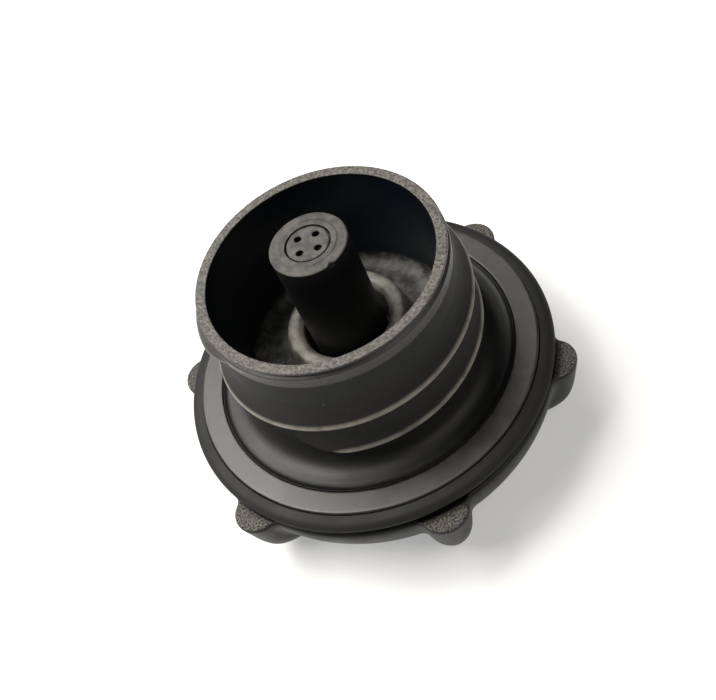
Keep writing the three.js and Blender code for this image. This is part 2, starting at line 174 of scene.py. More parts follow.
def skin(name, grids, body, material):
    """Makes one piece from grids of points in millimetres.

    Each grid is (points, ring_rows, ring_columns) with points as rows x columns x 3. Doubles are
    merged, which closes poles and joins neighbouring grids, and the faces are turned outwards.
    """
    places, faces, start = [], [], 0
    for points, ring_rows, ring_columns in grids:
        rows, columns = points.shape[:2]
        places.append(points.reshape(-1, 3) * MM)
        faces.append(quads(rows, columns, ring_rows, ring_columns) + start)
        start += rows * columns
    mesh = bpy.data.meshes.new(name)
    mesh.from_pydata(np.concatenate(places).tolist(), [], np.concatenate(faces).tolist())
    shell = bmesh.new()
    shell.from_mesh(mesh)
    bmesh.ops.remove_doubles(shell, verts=shell.verts, dist=2e-6)
    bmesh.ops.recalc_face_normals(shell, faces=shell.faces)
    open_edges = sum(1 for edge in shell.edges if len(edge.link_faces) != 2)
    shell.to_mesh(mesh)
    shell.free()
    mesh.polygons.foreach_set("use_smooth", np.ones(len(mesh.polygons), dtype=bool))
    piece = bpy.data.objects.new(name, mesh)
    bpy.context.scene.collection.objects.link(piece)
    piece.data.materials.append(material)
    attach(piece, body)
    print(name, "faces", len(mesh.polygons), "edges without two faces", open_edges)
    return piece


def turned(profile, steps=216, first=0.0, wobble=None):
    """A profile of [radius, height] carried once round the axis, as rows x steps x 3."""
    angle = (first + 2 * np.pi * np.arange(steps) / steps)[None, :]
    r = profile[:, 0][:, None] + 0 * angle
    z = profile[:, 1][:, None] + 0 * angle
    if wobble is not None:
        r, z = wobble(r, z, angle)
    return np.stack([r * np.cos(angle), r * np.sin(angle), z], axis=-1)


def polar(r, angle, z):
    """Points from radius, angle and height, any of which may be an array."""
    r, angle, z = np.broadcast_arrays(r, angle, z)
    return np.stack([r * np.cos(angle), r * np.sin(angle), z], axis=-1)


# %% [markdown]
# Materials. The cap is injection-moulded black nylon with glass fibre in it, which looks
# charcoal rather than jet black, because fibres and scuffs at the skin scatter light. The mould
# was spark-eroded where the plastic has to look matt, so the rim and the tops of the lobes have
# a coarse grain, and it was polished where the cap seals, so the inside of the cup is glossy.
# One function adds a node, and each material is a short list of layers over the same noise.

# %% Colour and node helpers
def linear(hex_colour):
    """An sRGB colour such as 1b1b1a as the linear RGBA that the shaders use."""
    part = np.array([int(hex_colour[i:i + 2], 16) for i in (0, 2, 4)]) / 255
    part = np.where(part <= 0.04045, part / 12.92, ((part + 0.055) / 1.055) ** 2.4)
    return (*[float(v) for v in part], 1.0)


class Recipe:
    """A material being written: its nodes, its shader, and the place of each point."""

    def __init__(self, name):
        self.material = bpy.data.materials.new(name)
        self.material.use_nodes = True
        self.tree = self.material.node_tree
        self.shader = self.tree.nodes["Principled BSDF"]
        self.place = self.add("TexCoord").outputs["Object"]
        split = self.add("SeparateXYZ", {0: self.place})
        self.x, self.y, self.z = split.outputs
        flat = self.add("CombineXYZ", {0: self.x, 1: self.y})
        self.radius = self.add("VectorMath", {0: flat.outputs[0]}, operation="LENGTH").outputs["Value"]
        self.angle = self.math("ARCTAN2", self.y, self.x)
        self.height = None

    def add(self, kind, links=None, **settings):
        """Adds one node, sets it up, and links or sets its inputs by name or number."""
        node = self.tree.nodes.new("ShaderNode" + kind)
        for key, value in settings.items():
            setattr(node, key, value)
        for key, value in (links or {}).items():
            if isinstance(value, bpy.types.NodeSocket):
                self.tree.links.new(value, node.inputs[key])
            else:
                node.inputs[key].default_value = value
        return node

    def math(self, operation, a, b=0.0, c=0.0):
        """One sum, product or comparison of two or three values."""
        return self.add("Math", {0: a, 1: b, 2: c}, operation=operation).outputs[0]

    def ramp(self, value, low, high, to_low=0.0, to_high=1.0):
        """Goes softly from to_low to to_high while value goes from low to high."""
        links = {"Value": value, 1: low, 2: high, 3: to_low, 4: to_high}
        return self.add("MapRange", links, interpolation_type="SMOOTHSTEP").outputs[0]

    def noise(self, size_mm, detail=3.0, rough=0.55, stretch=None, where=None):
        """Cloudy noise whose patches are about size_mm across."""
        place = where or self.place
        if stretch:
            place = self.add("Mapping", {0: place, "Scale": stretch}).outputs[0]
        links = {"Vector": place, "Scale": 1 / (size_mm * MM), "Detail": detail, "Roughness": rough}
        return self.add("TexNoise", links).outputs[0]

    def wrap(self, around_mm, up_mm):
        """A place that runs round the axis and up it, for marks that follow the turning."""
        turn = self.math("MULTIPLY", self.angle, 1 / (around_mm * MM) * 0.03)
        rise = self.math("DIVIDE", self.z, up_mm * MM)
        out = self.math("DIVIDE", self.radius, up_mm * MM)
        return self.add("CombineXYZ", {0: turn, 1: rise, 2: out}).outputs[0]

    def mix(self, share, a, b):
        """A colour that goes from a to b with share."""
        links = {0: share, 6: a, 7: b}
        return self.add("Mix", links, data_type="RGBA", clamp_factor=True).outputs[2]

    def blend(self, share, a, b):
        """A value that goes from a to b with share."""
        return self.add("Mix", {0: share, 2: a, 3: b}, data_type="FLOAT").outputs[0]

    def specks(self, spacing_mm, size_mm, share):
        """Small dots, kept only where a random colour per cell is high enough."""
        links = {"Vector": self.place, "Scale": 1 / (spacing_mm * MM), "Randomness": 1.0}
        cells = self.add("TexVoronoi", links, feature="F1")
        near = self.ramp(cells.outputs["Distance"], size_mm / spacing_mm, 0.4 * size_mm / spacing_mm)
        pick = self.add("SeparateColor", {0: cells.outputs["Color"]}).outputs[0]
        kept = self.ramp(pick, 1 - share, 1 - share + 0.01)
        return self.math("MULTIPLY", near, kept)

    def bump(self, height, millimetres):
        """Raises the surface by up to that many millimetres, over any bump that is there."""
        links = {"Height": height, "Distance": millimetres * MM, "Strength": 1.0}
        if self.height is not None:
            links["Normal"] = self.height
        self.height = self.add("Bump", links).outputs[0]
        self.tree.links.new(self.height, self.shader.inputs["Normal"])

    def finish(self, colour, rough, **constants):
        """Sets the shader's colour and roughness, and any socket that is the same all over."""
        for key, value in (("Base Color", colour), ("Roughness", rough)):
            if isinstance(value, bpy.types.NodeSocket):
                self.tree.links.new(value, self.shader.inputs[key])
            else:
                self.shader.inputs[key].default_value = value
        for key, value in constants.items():
            self.shader.inputs[key.replace("_", " ")].default_value = value
        print("material", self.material.name, "nodes", len(self.tree.nodes))
        return self.material


# %% [markdown]
# Nylon 66 with glass fibre, moulded. Its refractive index is about 1.53. A polished steel mould
# gives the cup and the flanks a satin skin with faint flow marks, the rim carries a spark-eroded
# grain, and the crests of the thread are painted pale, partly as wear from screwing in and out
# and partly as a painted highlight along each crest.

# %% Nylon of the threaded insert
def nylon_insert():
    m = Recipe("glass_filled_nylon_moulded")
    inside = m.math("MULTIPLY", m.ramp(m.radius, (cup_r + 0.5) * MM, (cup_r + 0.2) * MM),
                    m.ramp(m.z, (rim_z - 0.3) * MM, (rim_z - 0.8) * MM))
    face = m.math("MULTIPLY", m.ramp(m.z, (rim_z - 0.22) * MM, (rim_z - 0.05) * MM),
                  m.ramp(m.radius, (cup_r - 0.9) * MM, (cup_r - 0.3) * MM))
    cloud = m.noise(9, 4)
    flow = m.noise(1.0, 3, where=m.wrap(30, 2.2))
    # grain of about 0.35 mm, as coarse as a spark-eroded mould leaves it
    grain = m.noise(0.42, 2, 0.6)
    fine = m.noise(0.12, 2, 0.6)
    colour = m.mix(m.ramp(cloud, 0.35, 0.7), linear("090909"), linear("100f0e"))
    colour = m.mix(m.math("MULTIPLY", m.ramp(flow, 0.45, 0.75), 0.5), colour, linear("161513"))
    # glass fibres and scuffs at the skin make the grained rim charcoal grey
    speckle = m.blend(m.ramp(grain, 0.35, 0.7), 0.25, 1.0)
    colour = m.mix(m.math("MULTIPLY", face, speckle), colour, linear("63605b"))
    thread_zone = m.ramp(m.z, (gasket_top + 2.5) * MM, (gasket_top + 3.0) * MM)
    # the smooth band under the rim is painted a soft charcoal in patches, partly wear from handling and
    # partly a painted sheen
    band_wear_and_sheen = m.math("MULTIPLY", m.ramp(m.z, (rim_z - 4.1) * MM, (rim_z - 3.5) * MM),
                  m.math("MULTIPLY", m.ramp(m.z, (rim_z - 0.4) * MM, (rim_z - 0.6) * MM),
                         m.ramp(m.radius, (neck_r - 1.0) * MM, (neck_r - 0.7) * MM)))
    band_patches = m.ramp(m.noise(5, 3, where=m.wrap(16, 3)), 0.3, 0.7)
    colour = m.mix(m.math("MULTIPLY", band_wear_and_sheen, m.blend(band_patches, 0.55, 1.0)), colour, linear("41403b"))
    # painted highlight: the crests are painted pale, partly wear from screwing in and out and partly the
    # highlight along each crest
    crest_wear_and_highlight = m.math("MULTIPLY", m.ramp(m.radius, (crest_r - 0.5) * MM, (crest_r - 0.05) * MM),
                    m.math("MULTIPLY", thread_zone, m.ramp(m.noise(3.4, 3), 0.05, 0.6)))
    colour = m.mix(m.math("MULTIPLY", crest_wear_and_highlight, 0.75), colour, linear("8d887e"))
    # short pale scratches where the thread has scraped along the tank's neck
    scrape = m.noise(1.0, 2, 0.5, where=m.wrap(14, 0.42))
    gate = m.ramp(m.noise(6, 2), 0.55, 0.66)
    marks = m.math("MULTIPLY", m.ramp(scrape, 0.69, 0.74), m.math("MULTIPLY", gate, thread_zone))
    marks = m.math("MULTIPLY", marks, m.ramp(m.radius, (root_r + 0.6) * MM, (root_r + 1.0) * MM))
    colour = m.mix(m.math("MULTIPLY", marks, 0.8), colour, linear("a39d90"))
    dust = m.specks(3.2, 0.17, 0.10)
    colour = m.mix(m.math("MULTIPLY", dust, 0.8), colour, linear("b9b2a2"))
    # painted shade: the cup's wall above its floor is painted blue-black, the dark cool shade of the deep
    # cup
    wall_shade = m.math("MULTIPLY", inside, m.ramp(m.z, (collar_bottom + 1.2) * MM, (collar_bottom + 2.4) * MM))
    colour = m.mix(m.math("MULTIPLY", wall_shade, 0.9), colour, linear("070c14"))
    # the cup's floor is matt and chalky, where coolant has dried on it
    basin = m.math("SUBTRACT", inside, wall_shade)
    chalk = m.ramp(m.noise(2.6, 5, 0.65), 0.35, 0.7)
    colour = m.mix(m.math("MULTIPLY", basin, chalk), colour, linear("4b4a45"))
    lint = m.math("MULTIPLY", inside, m.specks(4.5, 0.14, 0.12))
    colour = m.mix(lint, colour, linear("a9b6bd"))
    rough = m.blend(m.ramp(cloud, 0.3, 0.75), 0.24, 0.32)
    # below the smooth band the thread was left matt by the mould and by use
    thread_matt = m.ramp(m.z, (rim_z - 3.7) * MM, (rim_z - 4.3) * MM)
    rough = m.blend(thread_matt, rough, m.blend(m.ramp(fine, 0.35, 0.65), 0.62, 0.8))
    flange = m.math("MULTIPLY", m.ramp(m.z, (gasket_top + 1.5) * MM, (gasket_top + 0.8) * MM),
                    m.ramp(m.radius, (root_r + 1.0) * MM, (root_r + 2.0) * MM))
    rough = m.blend(flange, rough, m.blend(m.ramp(cloud, 0.3, 0.75), 0.4, 0.5))
    outer = m.ramp(m.radius, gasket_out * MM, (gasket_out + 0.5) * MM)
    rough = m.blend(outer, rough, m.blend(m.ramp(cloud, 0.3, 0.75), 0.62, 0.74))
    rough = m.blend(inside, rough, 0.3)
    rough = m.blend(basin, rough, 0.55)
    rough = m.blend(face, rough, 0.58)
    rough = m.blend(crest_wear_and_highlight, rough, 0.5)
    m.bump(m.math("MULTIPLY", grain, m.blend(face, 0.03, 1.0)), 0.16)
    m.bump(m.math("MULTIPLY", flow, m.blend(inside, 1.0, 0.2)), 0.015)
    m.bump(fine, 0.004)
    return m.finish(colour, rough, IOR=1.53, Specular_IOR_Level=0.32)


insert_nylon = nylon_insert()


# %% [markdown]
# The knob is the same nylon from another mould. The tops of its lobes and the ring between them
# were spark-eroded coarsely, with grains of half a millimetre, and its side is satin with long
# faint streaks round it. The grain's sparkle is painted as pale specks on the lobe tops, a painted
# glint. Masks on the height and the radius tell them apart, and the rest of the ring, which faces
# the flange's slot, is painted near-black as the shade in that slot.

# %% Nylon of the knob
def nylon_knob():
    m = Recipe("glass_filled_nylon_spark_eroded")
    flat = m.ramp(m.z, (knob_top - 0.35) * MM, (knob_top - 0.1) * MM)
    top = m.math("MULTIPLY", flat, m.ramp(m.radius, (knob_r - 0.5) * MM, (knob_r + 0.4) * MM))
    # painted shade: the ring inside the lobes, which faces the flange's slot
    slot_shade = m.math("SUBTRACT", flat, top)
    cloud = m.noise(7, 4)
    # spark-eroded grain of about a third of a millimetre
    grain = m.noise(0.34, 2, 0.65)
    pits = m.add("TexVoronoi", {"Vector": m.place, "Scale": 1 / (0.6 * MM)}).outputs["Distance"]
    streak = m.noise(1.0, 3, where=m.wrap(18, 1.6))
    side = m.mix(m.ramp(cloud, 0.35, 0.7), linear("0f0f0e"), linear("171615"))
    side = m.mix(m.math("MULTIPLY", m.ramp(streak, 0.5, 0.8), 0.5), side, linear("1f1d1b"))
    tops = m.mix(m.ramp(grain, 0.38, 0.7), linear("262523"), linear("6e6b65"))
    colour = m.mix(top, side, tops)
    # painted shade: the ring under the flange's slot is painted near-black
    colour = m.mix(slot_shade, colour, linear("040404"))
    # painted glints: pale specks on the lobe tops stand in for the grain's sparkle
    painted_glints = m.math("MULTIPLY", top, m.specks(0.8, 0.11, 0.22))
    colour = m.mix(painted_glints, colour, linear("b5b0a6"))
    dust = m.specks(2.6, 0.16, 0.08)
    colour = m.mix(m.math("MULTIPLY", dust, 0.7), colour, linear("c9c3b4"))
    rough = m.blend(top, m.blend(m.ramp(cloud, 0.3, 0.7), 0.42, 0.54), 0.7)
    relief = m.math("ADD", grain, m.math("MULTIPLY", pits, 0.5))
    m.bump(m.math("MULTIPLY", relief, m.blend(top, 0.02, 1.0)), 0.34)
    m.bump(streak, 0.012)
    return m.finish(colour, rough, IOR=1.53, Specular_IOR_Level=0.28)


knob_nylon = nylon_knob()


# %% [markdown]
# The gasket is moulded EPDM rubber that has been pressed smooth in service. It is a warm dark
# grey with a satin skin, so it is pale only where it mirrors a light, and it carries faint rings
# from the mould and darker clouds where it was wet.

# %% Rubber
def rubber(name, dark, pale, rough_low, rough_high):
    m = Recipe(name)
    cloud = m.noise(5, 5, 0.6)
    rings = m.noise(1.0, 4, 0.6, where=m.wrap(12, 0.5))
    stain = m.noise(2.2, 4, 0.65)
    colour = m.mix(m.ramp(cloud, 0.3, 0.7), linear(dark), linear(pale))
    colour = m.mix(m.math("MULTIPLY", m.ramp(rings, 0.5, 0.72), 0.35), colour, linear(pale))
    colour = m.mix(m.math("MULTIPLY", m.ramp(stain, 0.62, 0.75), 0.4), colour, linear("2b2a26"))
    dust = m.specks(2.4, 0.13, 0.10)
    colour = m.mix(m.math("MULTIPLY", dust, 0.6), colour, linear("cfc9ba"))
    rough = m.blend(m.ramp(cloud, 0.3, 0.75), rough_low, rough_high)
    m.bump(rings, 0.02)
    m.bump(m.noise(0.35, 3), 0.012)
    return m.finish(colour, rough, IOR=1.5)


gasket_rubber = rubber("epdm_rubber_compression_moulded", "1d1c1a", "302e2a", 0.28, 0.4)
seal_rubber = rubber("epdm_rubber_seal", "1c1b1a", "2a2926", 0.45, 0.6)


# %% [markdown]
# The valve's post is nylon too. Its end has been handled and wiped, so the ring round the inlet
# is scuffed to a pale grey with short scratches, while the sides, deep in the cup, stay black.

# %% Nylon of the valve's post
def nylon_post():
    m = Recipe("nylon_post_scuffed")
    end = m.ramp(m.z, (post_top - 0.42) * MM, (post_top - 0.25) * MM)
    cloud = m.noise(1.6, 5, 0.65)
    lines = m.noise(1.0, 4, 0.6, where=m.wrap(6, 0.35))
    scuffed = m.mix(m.ramp(cloud, 0.35, 0.65), linear("2f2e2b"), linear("4f4d48"))
    scuffed = m.mix(m.math("MULTIPLY", m.ramp(lines, 0.5, 0.64), 0.7), scuffed, linear("1b1a18"))
    colour = m.mix(end, linear("050506"), scuffed)
    rough = m.blend(end, 0.5, m.blend(cloud, 0.34, 0.5))
    m.bump(m.math("MULTIPLY", cloud, m.blend(end, 0.1, 1.0)), 0.12)
    m.bump(m.math("MULTIPLY", lines, end), 0.05)
    return m.finish(colour, rough, IOR=1.53, Specular_IOR_Level=0.35)


post_nylon = nylon_post()


# %% [markdown]
# The collar round the post is the same nylon, but its mould was left grained, and coolant has
# dried on it. It is matt and clearly paler than the glossy wall round it.

# %% Nylon of the collar
def nylon_collar():
    m = Recipe("nylon_collar_chalky")
    cloud = m.noise(2.2, 5, 0.65)
    rings = m.noise(1.0, 4, 0.6, where=m.wrap(9, 0.3))
    colour = m.mix(m.ramp(cloud, 0.3, 0.65), linear("35342f"), linear("67655c"))
    colour = m.mix(m.math("MULTIPLY", m.ramp(rings, 0.52, 0.68), 0.6), colour, linear("1f1e1b"))
    m.bump(cloud, 0.05)
    m.bump(rings, 0.04)
    return m.finish(colour, m.blend(cloud, 0.36, 0.5), IOR=1.53)


collar_nylon = nylon_collar()


# %% [markdown]
# Inside are pieces that only show when the cap is cut or posed: natural grey acetal, turned
# brass with its fine lathe rings, and drawn stainless wire. They are plain on purpose, but each
# still has the marks of how it was made.

# %% Acetal, brass and stainless wire
def acetal():
    m = Recipe("acetal_moulded_grey")
    cloud = m.noise(4, 3)
    colour = m.mix(m.ramp(cloud, 0.3, 0.7), linear("34332f"), linear("403e39"))
    m.bump(m.noise(0.3, 2), 0.01)
    return m.finish(colour, m.blend(cloud, 0.38, 0.5), IOR=1.48)


def turned_metal(name, dark, pale, rough, ring_mm):
    m = Recipe(name)
    rings = m.noise(1.0, 3, where=m.wrap(40, ring_mm))
    colour = m.mix(m.ramp(m.noise(2, 4), 0.3, 0.7), linear(dark), linear(pale))
    m.bump(rings, 0.006)
    return m.finish(colour, m.blend(rings, rough, rough + 0.14), Metallic=1.0)


inner_acetal = acetal()
brass = turned_metal("brass_turned", "9a7a3e", "b99a58", 0.24, 0.12)
dark_brass = turned_metal("brass_tarnished_in_coolant", "3d3320", "5e5031", 0.36, 0.12)
stainless = turned_metal("stainless_wire_drawn", "a2a5a8", "c3c5c8", 0.2, 0.2)

# %% Finishes of the solids that stay
kept = {
    "thrust_washer": inner_acetal, "drive_ring": inner_acetal, "housing_retainer": inner_acetal,
    "pressure_piston": inner_acetal, "housing_o_ring": seal_rubber, "piston_seal": seal_rubber,
    "vacuum_seal": seal_rubber, "snap_ring": stainless, "seal_retainer": dark_brass,
    "spring_adjuster": brass, "vacuum_valve": dark_brass, "vacuum_clip": brass,
}
for node, material in kept.items():
    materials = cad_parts[node].data.materials
    materials.clear()
    materials.append(material)
print("solids with a new finish:", len(kept))

# %% [markdown]
# The neck, the cup inside it, the dish at its foot, the flange and the skirt that hides in the
# knob are one moulding. It is one outline turned about the axis, from the rim outwards and back
# inside. The rim's fine groove, the dish and the gasket's groove are in the outline, because
# each of them draws a line of light right round the cap.

# %% Outline of the insert
cup_floor = collar_bottom - 0.3
floor_under = cup_floor - 2.2
flange_bottom = knob_top + 1.2
hub_r, hub_in = 28.2, 25.6
snap_top = knob_top - 3.1
shoulder = gasket_top - 0.6

insert_outline = [
    # inside of the cup
    [8.35, floor_under, 0.1], [8.35, cup_floor, 0.2], [17.4, cup_floor, 1.2],
    [19.5, cup_floor + 1.3, 1.6], [20.0, cup_floor + 4.2, 1.2], [cup_r, rim_z, 0.28],
    # rim with its fine groove, and the band under it
    [neck_r, rim_z, 0.25], [neck_r, rim_z - 0.5, 0.1], [neck_r - 0.5, rim_z - 0.65, 0.1],
    [neck_r - 0.5, rim_z - 1.15, 0.12], [neck_r + 0.22, rim_z - 1.6, 0.22],
    [root_r + 0.3, rim_z - 3.9, 0.6],
    [root_r, cup_floor + 2.0, 2.0],
    # foot of the neck, the dish round it and the gasket's groove
    [root_r + 0.05, gasket_top + 3.2, 1.5], [root_r + 1.0, gasket_top + 1.0, 1.2],
    [25.6, gasket_top - 0.35, 1.2], [28.4, gasket_top - 0.6, 0.8],
    [gasket_in - 0.3, gasket_top - 0.1, 0.12],
    [gasket_in - 0.3, gasket_bottom - 0.3, 0.05], [gasket_out + 0.3, gasket_bottom - 0.3, 0.05],
    [gasket_out + 0.3, shoulder, 0.1],
    # rounded shoulder and the flange's edge
    [flange_r - 1.2, shoulder - 0.1, 0.6], [flange_r - 0.3, shoulder - 0.8, 0.6],
    [flange_r, shoulder - 1.6, 0.5], [flange_r - 1.2, flange_bottom, 0.3],
    # skirt with the snap ring's groove
    [hub_r, flange_bottom, 0.1], [hub_r, snap_top, 0.08], [hub_r - 1.2, snap_top, 0.05],
    [hub_r - 1.2, snap_top - 1.8, 0.05], [hub_r, snap_top - 1.8, 0.08], [hub_r, skirt_bottom, 0.2],
    [hub_in, skirt_bottom, 0.2], [hub_in, flange_bottom + 0.6, 0.6],
    # hollow under the neck, and the socket that holds the valve
    [20, flange_bottom + 2.6, 1.0], [20, floor_under - 0.6, 0.6], [17, floor_under, 0.5],
    [17, floor_under - 6.8, 0.15], [15.2, floor_under - 6.8, 0.1],
    [14.4, floor_under - 6.3, 0.15], [14.4, floor_under - 5.9, 0.15],
    [15, floor_under - 5.6, 0.1], [15, floor_under, 0.2],
]
outline = rounded(insert_outline, closed=True)
insert_skin = turned(outline, 216)
print("outline rows", len(outline))


# %% [markdown]
# The thread has one start and climbs 8 mm a turn. Its section is a gentle hollow flank above, a
# small rounded crest and a short undercut below, so that from above each turn shows one broad
# soft band and one thin bright line. A section carried along a helix gives exactly that, and at
# both ends it sinks into the neck. A Screw modifier could carry it, but it can't fade its ends.

# %% Thread
def capped(rows):
    """Closes both ends of a run of sections, each in a point at the middle of its section."""
    middles = rows[[0, -1]].mean(axis=1, keepdims=True).repeat(rows.shape[1], axis=1)
    return np.concatenate([middles[:1], rows, middles[1:]])


def along_helix(section, first, last, steps, height_at, fade_at, inner):
    """Carries a closed section of [radius, height] round the axis from angle first to last.

    height_at gives the height of the section's zero at each angle, and fade_at how far it
    stands out of the inner radius there, from 0 to 1. Both ends close in a point.
    """
    angle = np.linspace(first, last, steps)[:, None]
    share = np.linspace(0, 1, steps)[:, None]
    out = inner + (section[None, :, 0] - inner) * fade_at(share, angle)
    high = height_at(angle) + section[None, :, 1]
    rows = polar(out, np.radians(angle), high)
    return capped(rows)


thread_inner = root_r - 0.4
flank = through([
    [thread_inner, -1.25], [thread_inner + 0.42, -0.98], [crest_r - 1.2, -0.62],
    [crest_r - 0.35, -0.3], [crest_r - 0.04, 0.0], [crest_r - 0.03, 0.35], [crest_r - 0.32, 0.9],
    [crest_r - 0.95, 1.9], [crest_r - 1.55, 3.1], [crest_r - 2.0, 4.5], [root_r + 0.08, 6.0],
    [thread_inner, 7.3],
], 4)
thread = along_helix(
    flank, 200, -510, 356,
    lambda a: rim_z - 13.2 + lead * (a + 60) / 360,
    lambda t, a: ease((200 - a) / 32 + 0.05) * ease((a + 510) / 40 + 0.05), thread_inner)

first_turn = through([
    [thread_inner, -1.0], [crest_r - 1.3, -0.55], [crest_r - 0.6, -0.15], [crest_r - 0.5, 0.15],
    [crest_r - 0.8, 0.55], [crest_r - 1.7, 1.15], [thread_inner, 1.9],
], 4)
lead_in = along_helix(
    first_turn, 215, -30, 124,
    lambda a: rim_z - 2.3 - lead * (215 - a) / 360,
    lambda t, a: ease(t * 8 + 0.05) * (1 - 0.85 * t), thread_inner)

insert = skin("insert_moulding", [(insert_skin, True, True)], "insert", insert_nylon)
ridges = skin("thread_ridges", [(thread, False, True), (lead_in, False, True)], "insert", insert_nylon)
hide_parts("threaded_insert")

# %% Lugs that the knob drives
lug_in, lug_out, lug_high = 23.6, 26.2, skirt_bottom + 2.5
lug_half = 9          # degrees
lug_section = rounded([[lug_in, skirt_bottom, 0.15], [lug_out, skirt_bottom, 0.1],
                       [lug_out, lug_high, 0.1], [lug_in, lug_high, 0.15]], closed=True)
lug_grids = []
for middle in range(60, 420, 60):
    swing = along_helix(
        lug_section, middle - lug_half, middle + lug_half, 12,
        lambda a: 0 * a, lambda t, a: 1 + 0 * t, lug_in)
    lug_grids.append((swing, False, True))
lugs = skin("insert_lugs", lug_grids, "insert", insert_nylon)

# %% [markdown]
# The knob is bowl-shaped with six grip lobes. Seen along the axis its outline is a circle with
# six rounded fingers, each joined by a hollow fillet. The fillet's centre is where it touches
# both circles, which is a triangle with three known sides. The same outline is used at every
# height, pulled in towards the axis by two side profiles, one for the bowl and one for a tip.

# %% Outline of the knob
tip_r = 4.5
tip_centre = lobe_reach - tip_r
bowl_top = knob_r - 0.3
fillet = 2.3
fillet_x = (tip_centre ** 2 + (bowl_top + fillet) ** 2 - (tip_r + fillet) ** 2) / (2 * tip_centre)
fillet_y = math.sqrt((bowl_top + fillet) ** 2 - fillet_x ** 2)
tip_end = math.atan2(fillet_y, fillet_x - tip_centre)
bowl_start = math.atan2(fillet_y, fillet_x)

tip_angle = np.linspace(0, tip_end, 16)
turn_angle = np.linspace(tip_end + math.pi, bowl_start + math.pi, 10)[1:]
bowl_angle = np.linspace(bowl_start, math.pi / 6, 12)[1:]
half = np.concatenate([
    np.stack([tip_centre + tip_r * np.cos(tip_angle), tip_r * np.sin(tip_angle)], 1),
    np.stack([fillet_x + fillet * np.cos(turn_angle), fillet_y + fillet * np.sin(turn_angle)], 1),
    np.stack([bowl_top * np.cos(bowl_angle), bowl_top * np.sin(bowl_angle)], 1),
])
sector = np.concatenate([half[::-1] * [1, -1], half[1:-1]])
sector_r, sector_angle = np.hypot(*sector.T), np.arctan2(sector[:, 1], sector[:, 0])
turns = np.radians(30 + 60 * np.arange(6))[:, None]
outline_r = np.tile(sector_r, 6)
outline_angle = (turns + sector_angle[None, :]).reshape(-1)
print("knob outline points", len(outline_r), "fillet meets the tip at", round(math.degrees(tip_end), 1))

# %% Side profiles and the knob
bowl_side = through([[23.8, 0], [26.8, 1.5], [knob_r - 4, 5.6], [knob_r - 1.7, 9.3],
                     [knob_r - 0.4, 12.8], [knob_r - 0.05, 14.6], [bowl_top, knob_top]], 8)
tip_side = through([[30.4, 0], [34.2, 1.7], [lobe_reach - 3.2, 4.6], [lobe_reach - 1.8, 7.8],
                    [lobe_reach - 0.8, 12], [lobe_reach, knob_top]], 8)


def knob_row(height, inset):
    """The outline at a height, moved in by inset along its own normal."""
    bowl_r = np.interp(height, bowl_side[:, 1], bowl_side[:, 0])
    tip_out = np.interp(height, tip_side[:, 1], tip_side[:, 0])
    out = (tip_out - bowl_r) / (lobe_reach - bowl_top)
    r = bowl_r + out * (outline_r - bowl_top)
    place = np.stack([r * np.cos(outline_angle), r * np.sin(outline_angle)], 1)
    along = np.roll(place, -1, axis=0) - np.roll(place, 1, axis=0)
    normal = np.stack([along[:, 1], -along[:, 0]], 1) / np.linalg.norm(along, axis=1)[:, None]
    place = place - normal * inset
    return np.concatenate([place, np.full((len(place), 1), height)], 1)


edge = 0.75
corner = np.linspace(0, math.pi / 2, 7)
side_heights = np.linspace(0.0, 1.0, 26) ** 0.9 * (knob_top - edge - 0.6) + 0.6
rows = [knob_row(h, 0) for h in side_heights]
rows += [knob_row(knob_top - edge + edge * math.sin(a), edge * (1 - math.cos(a))) for a in corner]
rows += [knob_row(knob_top, edge + 0.2)]


def circle_row(r, z):
    return polar(np.full(len(outline_angle), float(r)), outline_angle, float(z))


# a shallow dish in the outer face, and the flat's rounded edge
face_rows = [circle_row(r, z) for r, z in rounded(
    [[0, 0.5], [17.0, 0.5, 0.4], [17.6, 0.0, 0.3], [23.2, 0.0, 0.4], [23.9, 0.1, 0.2]])]
inner_rows = [circle_row(r, z) for r, z in rounded(
    [[30.5, knob_top], [28.6, knob_top, 0.3], [28.6, knob_top - 2.8, 0.2], [31.2, knob_top - 2.8, 0.2],
     [31.2, 10, 1.0], [24.5, 2.4, 0.8], [0, 2.4]])]
knob_skin = np.stack(face_rows + rows + inner_rows)
knob = skin("knob_moulding", [(knob_skin, False, True)], "knob", knob_nylon)
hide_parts("grip_knob")

# %% [markdown]
# The gasket is a flat ring with softly rounded edges that stands a little proud of its groove.
# Its width wanders by a few hundredths of a millimetre, as moulded rubber does, and that keeps
# its edge highlights from looking machined.

# %% Gasket
def soft_edge(r, z, angle):
    """Lets the ring's radius and height wander slowly round the axis."""
    sag = np.where(z > gasket_top - 1, -0.03 * np.cos(4 * angle) ** 2, 0)
    return r + 0.05 * np.sin(3 * angle + 0.6), z + sag


gasket_outline = rounded([[gasket_in - 0.2, gasket_bottom, 0.2], [gasket_out + 0.2, gasket_bottom, 0.2],
                          [gasket_out + 0.2, gasket_top, 0.42], [gasket_in - 0.2, gasket_top, 0.42]],
                         closed=True, arc=6)
gasket = skin("flat_gasket", [(turned(gasket_outline, 216, wobble=soft_edge), True, True)], "insert",
              gasket_rubber)
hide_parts("flange_gasket")

# %% [markdown]
# On the cup's floor a rounded collar stands round the post. It is an outline turned about the
# axis, with a broad soft top edge that catches a bright arc of light.

# %% Collar round the post
collar_outline = rounded([
    [8.2, collar_bottom, 0.15], [collar_foot_r, collar_bottom, 0.1], [12.2, collar_bottom + 1.5, 1.0],
    [11.6, collar_top - 1.3, 0.9], [11.0, collar_top, 0.9], [9.2, collar_top, 0.5],
    [8.2, collar_top - 1.0, 0.5]], closed=True, arc=6)
collar = skin("collar_ring", [(turned(collar_outline, 144), True, True)], "insert", collar_nylon)
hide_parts("post_collar")

